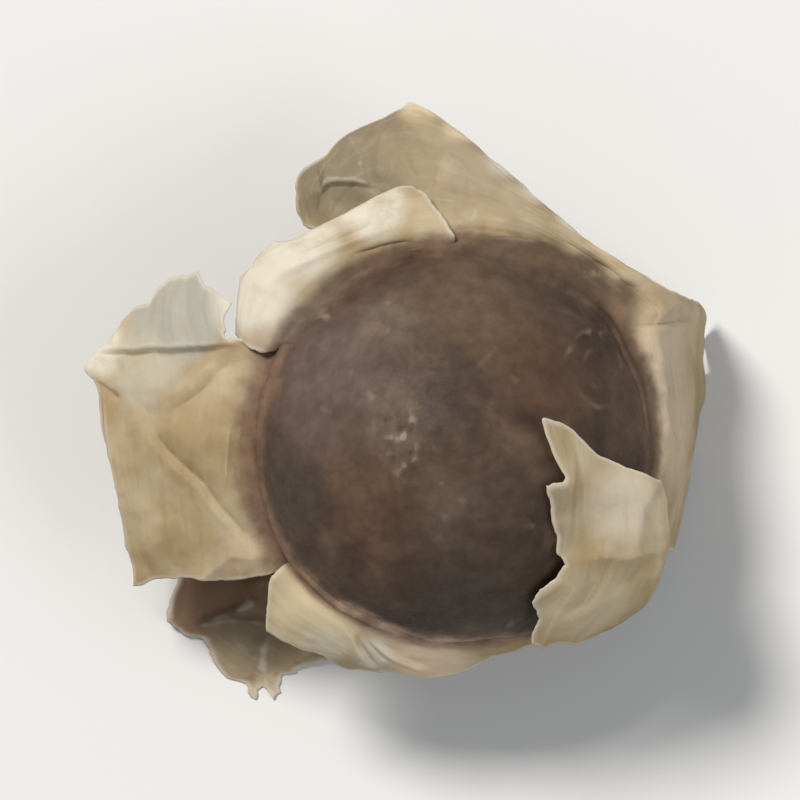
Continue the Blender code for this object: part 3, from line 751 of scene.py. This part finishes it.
def find_places(grid, points):
    """Where points, in space or seen from above, are on the sheet, in millimetres along and down it."""
    by_row, by_column = np.gradient(grid, axis=0), np.gradient(grid, axis=1)
    places = []
    for point in points:
        known = len(point)
        away = np.linalg.norm(grid[..., :known] - np.array(point), axis=2)
        upper = np.where(away < away.min() + 0.5 * CELL, grid[..., 2], -np.inf)
        row, column = np.unravel_index((upper if known == 2 else -away).argmax(), away.shape)
        slopes = np.stack([by_column[row, column, :known], by_row[row, column, :known]], axis=1)
        step = np.linalg.lstsq(slopes, np.array(point) - grid[row, column, :known], rcond=None)[0]
        places.append(np.clip(step, -1.5, 1.5) + (column, row))
    return np.array(places) * CELL


def stray(at, seed):
    """How far a torn edge stands out or in, from -1 to 1, in straight stretches with sharp nicks."""
    rng = np.random.default_rng(seed)
    total = np.zeros(len(at))
    for gap, share in TEARS:
        knots = np.cumsum(rng.uniform(0.3, 1.7, int(at[-1] / gap * 1.6) + 6) * gap) - gap
        total += share * np.interp(at, knots, rng.uniform(-1.0, 1.0, len(knots)))
    return total


def torn(corners, rough, seed):
    """The line through the corners as close points, with nicks torn into it."""
    run = distance_run(corners)
    at = np.linspace(0.0, run[-1], int(run[-1] / EDGE_GAP))
    line = np.stack([np.interp(at, run, corners[:, part]) for part in (0, 1)], axis=1)
    way = np.gradient(line, axis=0)
    way /= np.maximum(np.linalg.norm(way, axis=1, keepdims=True), 1e-9)
    shift = rough * 2.0 * stray(at, seed)
    return line + shift[:, None] * np.stack([-way[:, 1], way[:, 0]], axis=1)


def within(points, outline):
    """Which of the points lie inside an outline."""
    inside = np.zeros(len(points), dtype=bool)
    x, y = points[:, 0], points[:, 1]
    for (ax, ay), (bx, by) in zip(outline, np.roll(outline, -1, axis=0)):
        crosses = (ay > y) != (by > y)
        if crosses.any():
            inside[crosses] ^= x[crosses] < ax + (bx - ax) * (y[crosses] - ay) / (by - ay)
    return inside


def edges_of(faces):
    return np.concatenate([faces[:, [0, 1]], faces[:, [1, 2]], faces[:, [2, 0]]])


def open_edges(faces):
    """The edges that only one of the faces has, each as it runs in that face."""
    edges = edges_of(faces)
    _, first, count = np.unique(np.sort(edges, axis=1), axis=0, return_index=True, return_counts=True)
    return edges[first[count == 1]]


def in_largest_part(faces):
    """Which faces are in the largest part that hangs together edge to edge."""
    edges = np.sort(edges_of(faces), axis=1)
    order = np.lexsort(edges.T)
    same = (edges[order[:-1]] == edges[order[1:]]).all(axis=1)
    a, b = order[:-1][same] % len(faces), order[1:][same] % len(faces)
    label = np.arange(len(faces))
    while True:
        lower = np.minimum(label[a], label[b])
        fresh = label.copy()
        np.minimum.at(fresh, a, lower)
        np.minimum.at(fresh, b, lower)
        fresh = fresh[fresh]
        if (fresh == label).all():
            return label == np.bincount(label).argmax()
        label = fresh


def one_sheet(faces):
    """The largest part of the faces, without the corners where two parts of it only touch."""
    while True:
        faces = faces[in_largest_part(faces)]
        pinched = np.flatnonzero(np.bincount(open_edges(faces).ravel()) > 2)
        if not len(pinched):
            return faces
        faces = faces[~np.isin(faces, pinched).any(axis=1)]


def filled(outline):
    """Evenly spread points inside an outline of close points, and the triangles between them."""
    low, high = outline.min(axis=0), outline.max(axis=0)
    rows = np.arange(low[1], high[1], GAP * math.sqrt(0.75))
    columns = np.arange(low[0], high[0], GAP)
    x, y = np.meshgrid(columns, rows)
    x = x + 0.5 * GAP * (np.arange(len(rows)) % 2)[:, None]
    inner = np.stack([x.ravel(), y.ravel()], axis=1)
    inner = inner[within(inner, outline)]
    tree = kdtree.KDTree(len(outline))
    for i, (a, b) in enumerate(outline):
        tree.insert((a, b, 0.0), i)
    tree.balance()
    clear = np.array([tree.find((a, b, 0.0))[2] for a, b in inner]) > 0.6 * GAP
    spots = np.vstack([outline, inner[clear]])
    loop = list(range(len(outline)))
    found = delaunay_2d_cdt([Vector(spot) for spot in spots], [], [loop], 1, 1e-6)
    points = np.array([tuple(spot) for spot in found[0]])
    faces = one_sheet(np.array([face for face in found[2] if len(face) == 3]))
    used, where = np.unique(faces, return_inverse=True)
    points, faces = points[used], where.reshape(-1, 3)
    to_edge = np.array([tree.find((a, b, 0.0))[2] for a, b in points])
    return points, faces, to_edge


def facets(u, v, size, seed):
    """The height of a crumpled sheet, from about -1 to 1: flat facets that meet in sharp creases."""
    rng = np.random.default_rng(seed)
    wide, high = u.max() + size, v.max() + size
    columns, rows = int(wide / size) + 3, int(high / size) + 3
    x, y = np.meshgrid(np.arange(columns) * size - size, np.arange(rows) * size - size, indexing="ij")
    corners = np.stack([x.ravel(), y.ravel()], axis=1)
    corners += rng.uniform(-0.48, 0.48, corners.shape) * size
    heights = rng.uniform(-1.0, 1.0, len(corners))
    found = delaunay_2d_cdt([Vector(corner) for corner in corners], [], [], 0, 1e-6)
    spots = np.array([tuple(spot) for spot in found[0]])
    tall = np.array([heights[origin[0]] for origin in found[3]])
    total = np.zeros(u.size)
    p = np.stack([u.ravel(), v.ravel()], axis=1)
    order = np.argsort(p[:, 0])
    across = p[order, 0]
    for face in found[2]:
        a, b, c = ends = spots[list(face)]
        first, last = np.searchsorted(across, (ends[:, 0].min(), ends[:, 0].max()))
        some = order[first:last]
        share = np.linalg.solve(np.stack([b - a, c - a], axis=1), (p[some] - a).T)
        share = np.vstack([1.0 - share.sum(axis=0), share])
        inside = (share >= 0).all(axis=0)
        total[some[inside]] = tall[list(face)] @ share[:, inside]
    return total.reshape(u.shape)


def softened(grid, times):
    """The grid's values, each time averaged with their neighbours'."""
    for _ in range(times):
        padded = np.pad(grid, 1, mode="edge")
        around = padded[:-2, 1:-1] + padded[2:, 1:-1] + padded[1:-1, :-2] + padded[1:-1, 2:]
        grid = 0.5 * padded[1:-1, 1:-1] + 0.125 * around
    return grid


def fold(u, v, path, rise, left, right):
    """A sharp crest along a path on the sheet, which ends at a distance to its left and one to its right."""
    starts = distance_run(path)
    away, side, run = np.full(u.shape, np.inf), np.zeros(u.shape), np.zeros(u.shape)
    for start, stop, a, b in zip(starts, starts[1:], path, path[1:]):
        way = (b - a) / (stop - start)
        along = np.clip((u - a[0]) * way[0] + (v - a[1]) * way[1], 0.0, stop - start)
        dx, dy = u - a[0] - along * way[0], v - a[1] - along * way[1]
        distance = np.hypot(dx, dy)
        closer = distance < away
        away = np.where(closer, distance, away)
        side = np.where(closer, way[0] * dy - way[1] * dx, side)
        run = np.where(closer, start + along, run)
    ends = 0.25 * starts[-1]
    fade = smooth_step(run, -0.5 * ends, ends) * smooth_step(starts[-1] - run, -0.5 * ends, ends)
    return rise * fade * np.clip(1.0 - away / np.where(side > 0, left, right), 0.0, 1.0) ** FOLD_SHARPNESS


def relief(name, grid, u, v, crumple, seed):
    """How far a wing's creases and crumples stand off its smooth sheet, and how sharply they crest."""
    creased = [high * softened(facets(u, v, wide, seed + more), times) for wide, high, times, more in FACETS]
    fibres = noise(np.stack([u * 0.3, v * 2.4, np.full(u.shape, seed)], axis=-1), 0.3, seed + 30)
    rise = crumple * sum(creased) + FIBRE_RISE * fibres
    rise += WAVE_RISE * layered_noise(grid, 2.4, 2, seed + 40)
    for height, left, right, *path in FOLDS[name]:
        rise += fold(u, v, find_places(grid, path), height, left, right)
    for x, y, radius, height in PUFFS[name]:
        middle = find_places(grid, [(x, y)])[0]
        rise += height * np.exp(-((u - middle[0]) ** 2 + (v - middle[1]) ** 2) / radius**2)
    crest = (rise - softened(rise, CREST_STEPS)) / CREST_RISE
    return rise, np.clip(crest, -1.0, 1.0)


def wing_outline(name, grid, stations, rough, seed):
    """A wing's torn outline on its sheet, closed along its root."""
    points = [stations[point][-1] if isinstance(point, int) else point for point in OUTLINES[name]]
    places = torn(find_places(grid, points), rough, seed)
    start, end = places[0] * (1.0, 0.0), places[-1] * (1.0, 0.0)
    root = np.linspace(end, start, int(np.linalg.norm(end - start) / EDGE_GAP) + 1)
    share = np.arange(0.1, 1.0, 0.1)[:, None]
    up, down = places[-1] + (end - places[-1]) * share, start + (places[0] - start) * share
    return np.vstack([places, up, root, down])


def make_wing(name, material):
    """Makes a wing, and returns its root's points, each with its stain, its strength and its steepness."""
    crumple, rough, reach, stain, strength, seed = TOUCH[name]
    stations = [[placed(point) for point in station] for station in NETS[name]]
    grid = smooth_sheet(stations)
    rows, columns = grid.shape[:2]
    u, v = np.meshgrid(np.arange(columns) * CELL, np.arange(rows) * CELL)
    tall = height_over_hull(grid)
    free = smooth_step(tall, 0.0, FREE_HEIGHT)
    rise, crest = relief(name, grid, u, v, crumple, seed)
    bent = grid + (rise * free)[..., None] * unit_normals(grid)
    spots, faces, to_edge = filled(wing_outline(name, bent, stations, rough, seed))
    row, column = spots[:, 1] / CELL, spots[:, 0] / CELL
    middle, normal = sampled(bent, row, column), sampled(unit_normals(bent), row, column)
    normal /= np.linalg.norm(normal, axis=1, keepdims=True)

    # How far each point is from the seam, along the wing and over the hull
    seam = np.pad((tall > 0).argmax(axis=0), SEAM_STEPS, mode="edge")
    seam = np.convolve(seam, np.full(2 * SEAM_STEPS + 1, 1.0 / (2 * SEAM_STEPS + 1)), mode="valid")
    run_out = spots[:, 1] - CELL * np.interp(column, np.arange(columns), seam)
    height = np.maximum(height_over_hull(middle), ROOT_SLOPE * run_out)

    # The sheet's two faces, thin at the rim, flared at the root and close to a hull that they lie along
    half = RIM_THICKNESS + (PAPER_THICKNESS - RIM_THICKNESS) * smooth_step(to_edge, 0.0, RIM_WIDTH)
    half *= 0.5
    middle[:, 2] = np.maximum(middle[:, 2], SURFACE + 1.2 * half)
    lying = np.sum(normal * away_from_hull(middle), axis=1) ** 2
    flare = (1.0 - lying) * FILLET_RISE * np.exp(-np.maximum(height, 0.0) / FILLET_REACH)
    half += flare * smooth_step(to_edge, 0.0, FILLET_START)
    points = np.vstack([middle + half[:, None] * normal, middle - half[:, None] * normal])
    above = np.maximum(height_over_hull(points), 0.0)
    sink = np.tile(lying * np.exp(-np.maximum(run_out, 0.0)), 2) * (above + EASE - np.hypot(above, EASE))
    points -= sink[:, None] * away_from_hull(points)
    points[:, 2] = np.maximum(points[:, 2], SURFACE)
    below = len(middle)
    rim = open_edges(faces)
    border = np.column_stack([rim[:, ::-1], rim + below])
    shape = faces.tolist() + (faces[:, ::-1] + below).tolist() + border.tolist()

    # What the material reads
    paper = root_share(np.maximum(height, 0.0), strength)
    paper += (1.0 - paper) * smooth_step(height, 0.05, reach)
    # The crease values carry the painted highlight on crests and the painted shade in grooves; the rim value
    # is partly the torn edge's own paleness and partly a painted highlight
    edge = (1.0 - smooth_step(to_edge, 0.03, PALE_RIM)) * smooth_step(height, 0.0, 0.6)
    values = {"paper": paper, "rim": edge, "crease": sampled(crest * free, row, column)}
    values = {key: np.tile(numbers, 2) for key, numbers in values.items()}
    run = np.column_stack([spots, np.full(len(spots), float(seed))])
    make_piece(name, points, shape, values, np.tile(run, (2, 1)), material)
    line = np.arange(columns)
    root, upright = sampled(grid, seam, line), sampled(unit_normals(grid), seam, line)
    stands = 1.0 - np.sum(upright * away_from_hull(root), axis=1) ** 2
    return np.column_stack([root, np.full(columns, stain), np.full(columns, strength), stands])


# The hull

# The middle of each mark on the hull's face, its radius and how pale, or below 0 how dark and deep, it is
MARKS = (
    (-1.45, 0.5, 0.13, -1.0), (-1.15, -0.65, 0.12, -1.0), (-1.65, -0.45, 0.12, -0.8),
    (-0.7, 2.3, 0.14, -0.8), (-1.25, -0.15, 0.1, -0.8), (-1.85, 0.05, 0.1, -0.6), (-0.45, 1.85, 0.12, -0.6),
    (1.75, 2.2, 0.12, -0.8), (-1.75, 0.8, 0.09, -0.6), (-2.05, -0.2, 0.09, -0.6), (-1.3, 0.95, 0.09, -0.7),
    (-1.95, 3.45, 0.1, -0.6), (-1.5, 0.25, 0.12, 0.9), (-1.05, -0.35, 0.11, 0.9), (-1.35, -0.6, 0.1, 0.8),
    (-1.75, -0.15, 0.11, 0.7), (-3.5, 1.05, 0.14, 0.7), (-2.35, 1.35, 0.16, 0.9), (1.72, 1.8, 0.13, 0.9),
    (1.55, 1.45, 0.11, 0.5), (2.2, -2.25, 0.11, 0.8), (1.6, -4.95, 0.14, 0.6), (-3.65, 3.68, 0.2, 1.0),
    (-3.95, 3.6, 0.14, 0.7), (-1.8, 3.25, 0.14, 0.6), (-1.8, 3.95, 0.14, 0.6), (-0.25, -1.85, 0.2, 0.5),
    (-0.4, -2.55, 0.16, 0.5), (0.25, -1.5, 0.16, 0.4), (-0.35, -1.05, 0.14, 0.5), (-0.55, -0.05, 0.12, 0.4),
    (1.0, -0.3, 0.14, 0.3), (-3.0, 4.55, 0.13, 0.8), (-2.75, 4.85, 0.12, 0.8), (4.15, 3.2, 0.13, 0.6),
    (3.75, 3.2, 0.12, 0.5),
)
RING = (4.1, 2.2)  # the middle of a faint ring on the hull's face
RING_RADIUS = 0.95


def hull_marks(base):
    """The small pale and dark marks on the hull's face, from about 1 to -1."""
    x, y = base[:, 0], base[:, 1]
    total = np.zeros(len(base))
    sway = 0.12 * noise(base, 0.22, 93), 0.12 * noise(base, 0.22, 94)
    for at, up, radius, most in MARKS:
        total += 0.8 * most * np.exp(-(((x - at + sway[0]) ** 2 + (y - up + sway[1]) ** 2) / radius**2))
    near = np.exp(-(((x + 1.45) / 0.7) ** 2 + ((y - 0.3) / 1.3) ** 2))
    grain = noise(base * (1.0, 0.7, 1.0), 0.17, 91)
    total += 0.9 * near * (smooth_step(grain, 0.15, 0.8) - smooth_step(-grain, 0.2, 0.8))
    streaks = noise(np.stack([(x - y) * 3.2, (x + y) * 0.6, base[:, 2]], axis=1), 1.0, 96)
    total += 0.35 * np.exp(-(((x - 0.9) / 1.2) ** 2 + ((y - 2.7) / 1.3) ** 2)) * streaks
    reach = np.hypot(x - RING[0], (y - RING[1]) * 0.9)
    along = np.sin(3.0 * np.arctan2(y - RING[1], x - RING[0]) + 0.6)
    reach += 0.10 * noise(base, 0.5, 95)
    for radius, most in ((RING_RADIUS, 0.40), (RING_RADIUS - 0.2, -0.40), (RING_RADIUS - 0.42, 0.35)):
        total += most * np.exp(-(((reach - radius) / 0.09) ** 2)) * smooth_step(along, -0.6, 0.8)
    total *= 0.9 + 0.6 * noise(base, 0.25, 92)
    return np.where(base[:, 2] > 0, total, 0.0)


def rounded_cube():
    """Directions and faces of a cube's evenly divided sides, rounded to a ball."""
    steps = np.tan(np.linspace(-1.0, 1.0, HULL_CELLS + 1) * math.pi / 4)
    a, b = np.meshgrid(steps, steps, indexing="ij")
    one = np.ones_like(a)
    sides = [(one, a, b), (-one, b, a), (b, one, a), (a, -one, b), (a, b, one), (b, a, -one)]
    points = np.vstack([np.stack(side, axis=-1).reshape(-1, 3) for side in sides])
    points /= np.linalg.norm(points, axis=1, keepdims=True)
    width = HULL_CELLS + 1
    row, column = np.meshgrid(np.arange(HULL_CELLS), np.arange(HULL_CELLS), indexing="ij")
    first = (row * width + column).ravel()
    quads = np.stack([first, first + width, first + width + 1, first + 1], axis=1)
    faces = np.vstack([quads + side * width * width for side in range(6)])
    _, keep, where = np.unique(np.round(points, 6), axis=0, return_index=True, return_inverse=True)
    return points[keep], where.ravel()[faces]


def root_distance(points, roots):
    """How far points on the hull are from a wing's root, and its stain, strength and steepness there."""
    tree = kdtree.KDTree(len(roots))
    for i, root in enumerate(roots):
        tree.insert(root[:3], i)
    tree.balance()
    near = [tree.find_n(point, ROOT_NEIGHBOURS) for point in points]
    away = np.array([found[0][2] for found in near])
    return away, *np.array([roots[[i for _, i, _ in found], 3:].mean(axis=0) for found in near]).T


def make_hull(material, roots):
    ways, faces = rounded_cube()
    azimuth, latitude = hull_angles(ways * HULL_RADII)
    base = hull_points(azimuth, latitude)
    away, stain, strength, stands = root_distance(base, roots)
    marks = hull_marks(base)
    lift = hull_swelling(base, azimuth, latitude)
    lift += stands * FILLET_RISE * np.exp(-np.maximum(away / FILLET_REACH, FILLET_TOP))
    lift += np.where(marks > 0, 0.02, 0.05) * np.clip(marks, -1.2, 1.2)
    points = base * (1.0 + lift / np.linalg.norm(base, axis=1))[:, None]
    fibres = noise(np.stack([base[:, 1] * 2.2, azimuth * 0.012, latitude * 0.05], axis=1), 1.0, 81)
    paper = root_share(away, strength) * np.exp(-((away * (1.0 + 0.3 * fibres) / stain) ** 2))
    values = {"paper": paper, "rim": np.zeros(len(points)), "crease": marks}
    make_piece("hull", points, faces.tolist(), values, base, material)


# The stage


def make_floor():
    size = 1.5
    mesh = bpy.data.meshes.new("floor")
    corners = [(-size, -size, 0), (size, -size, 0), (size, size, 0), (-size, size, 0)]
    mesh.from_pydata(corners, [], [(0, 1, 2, 3)])
    floor = add_object("floor", mesh)
    floor.location.z = cad_low.z - 0.00002  # just clear of the seed
    material = bpy.data.materials.new("floor")
    material.use_nodes = True
    shader = material.node_tree.nodes["Principled BSDF"]
    shader.inputs["Base Color"].default_value = (0.60, 0.595, 0.58, 1.0)
    shader.inputs["Roughness"].default_value = 0.8
    shader.inputs["Specular IOR Level"].default_value = 0.2
    mesh.materials.append(material)
    floor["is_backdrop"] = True


def make_light(name, spot, width, power, colour):
    light = bpy.data.lights.new(name, "AREA")
    light.shape = "DISK"
    light.size = width
    light.energy = power
    light.color = colour
    made = add_object(name, light)
    made.location = spot
    made.rotation_euler = (Vector((0.0, 0.0, 0.005)) - Vector(spot)).to_track_quat("-Z", "Y").to_euler()


def make_lights():
    make_light("key", (-0.34, 0.42, 0.70), 0.24, 9.4, (1.0, 0.97, 0.93))
    make_light("fill", (0.70, -0.20, 0.60), 0.7, 3.5, (0.95, 0.97, 1.0))
    world = bpy.data.worlds.new("world")
    bpy.context.scene.world = world
    world.use_nodes = True
    back = world.node_tree.nodes["Background"]
    back.inputs["Color"].default_value = (0.90, 0.93, 0.97, 1.0)
    back.inputs["Strength"].default_value = 0.34
    bpy.context.scene.view_settings.view_transform = "Standard"


def make_camera():
    """Straight above the seed, with the upper pole of its hull up in the picture."""
    seen = 0.0225  # how much of the floor the picture is wide
    away = 0.28
    camera = bpy.data.cameras.new("camera")
    camera.sensor_width = 36.0
    camera.lens = camera.sensor_width * away / seen
    camera.clip_start = 0.01
    middle = (cad_low + cad_high) / 2
    made = add_object("camera", camera)
    made.location = (middle.x, middle.y, middle.z + away)
    bpy.context.scene.camera = made


def main():
    make_camera()
    make_lights()
    make_floor()
    paper = seed_coat("wing_paper", 0.3)
    roots = np.vstack([make_wing(name, paper) for name in NETS])
    make_hull(seed_coat("hull_skin", 0.0), roots)


main()
low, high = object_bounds()
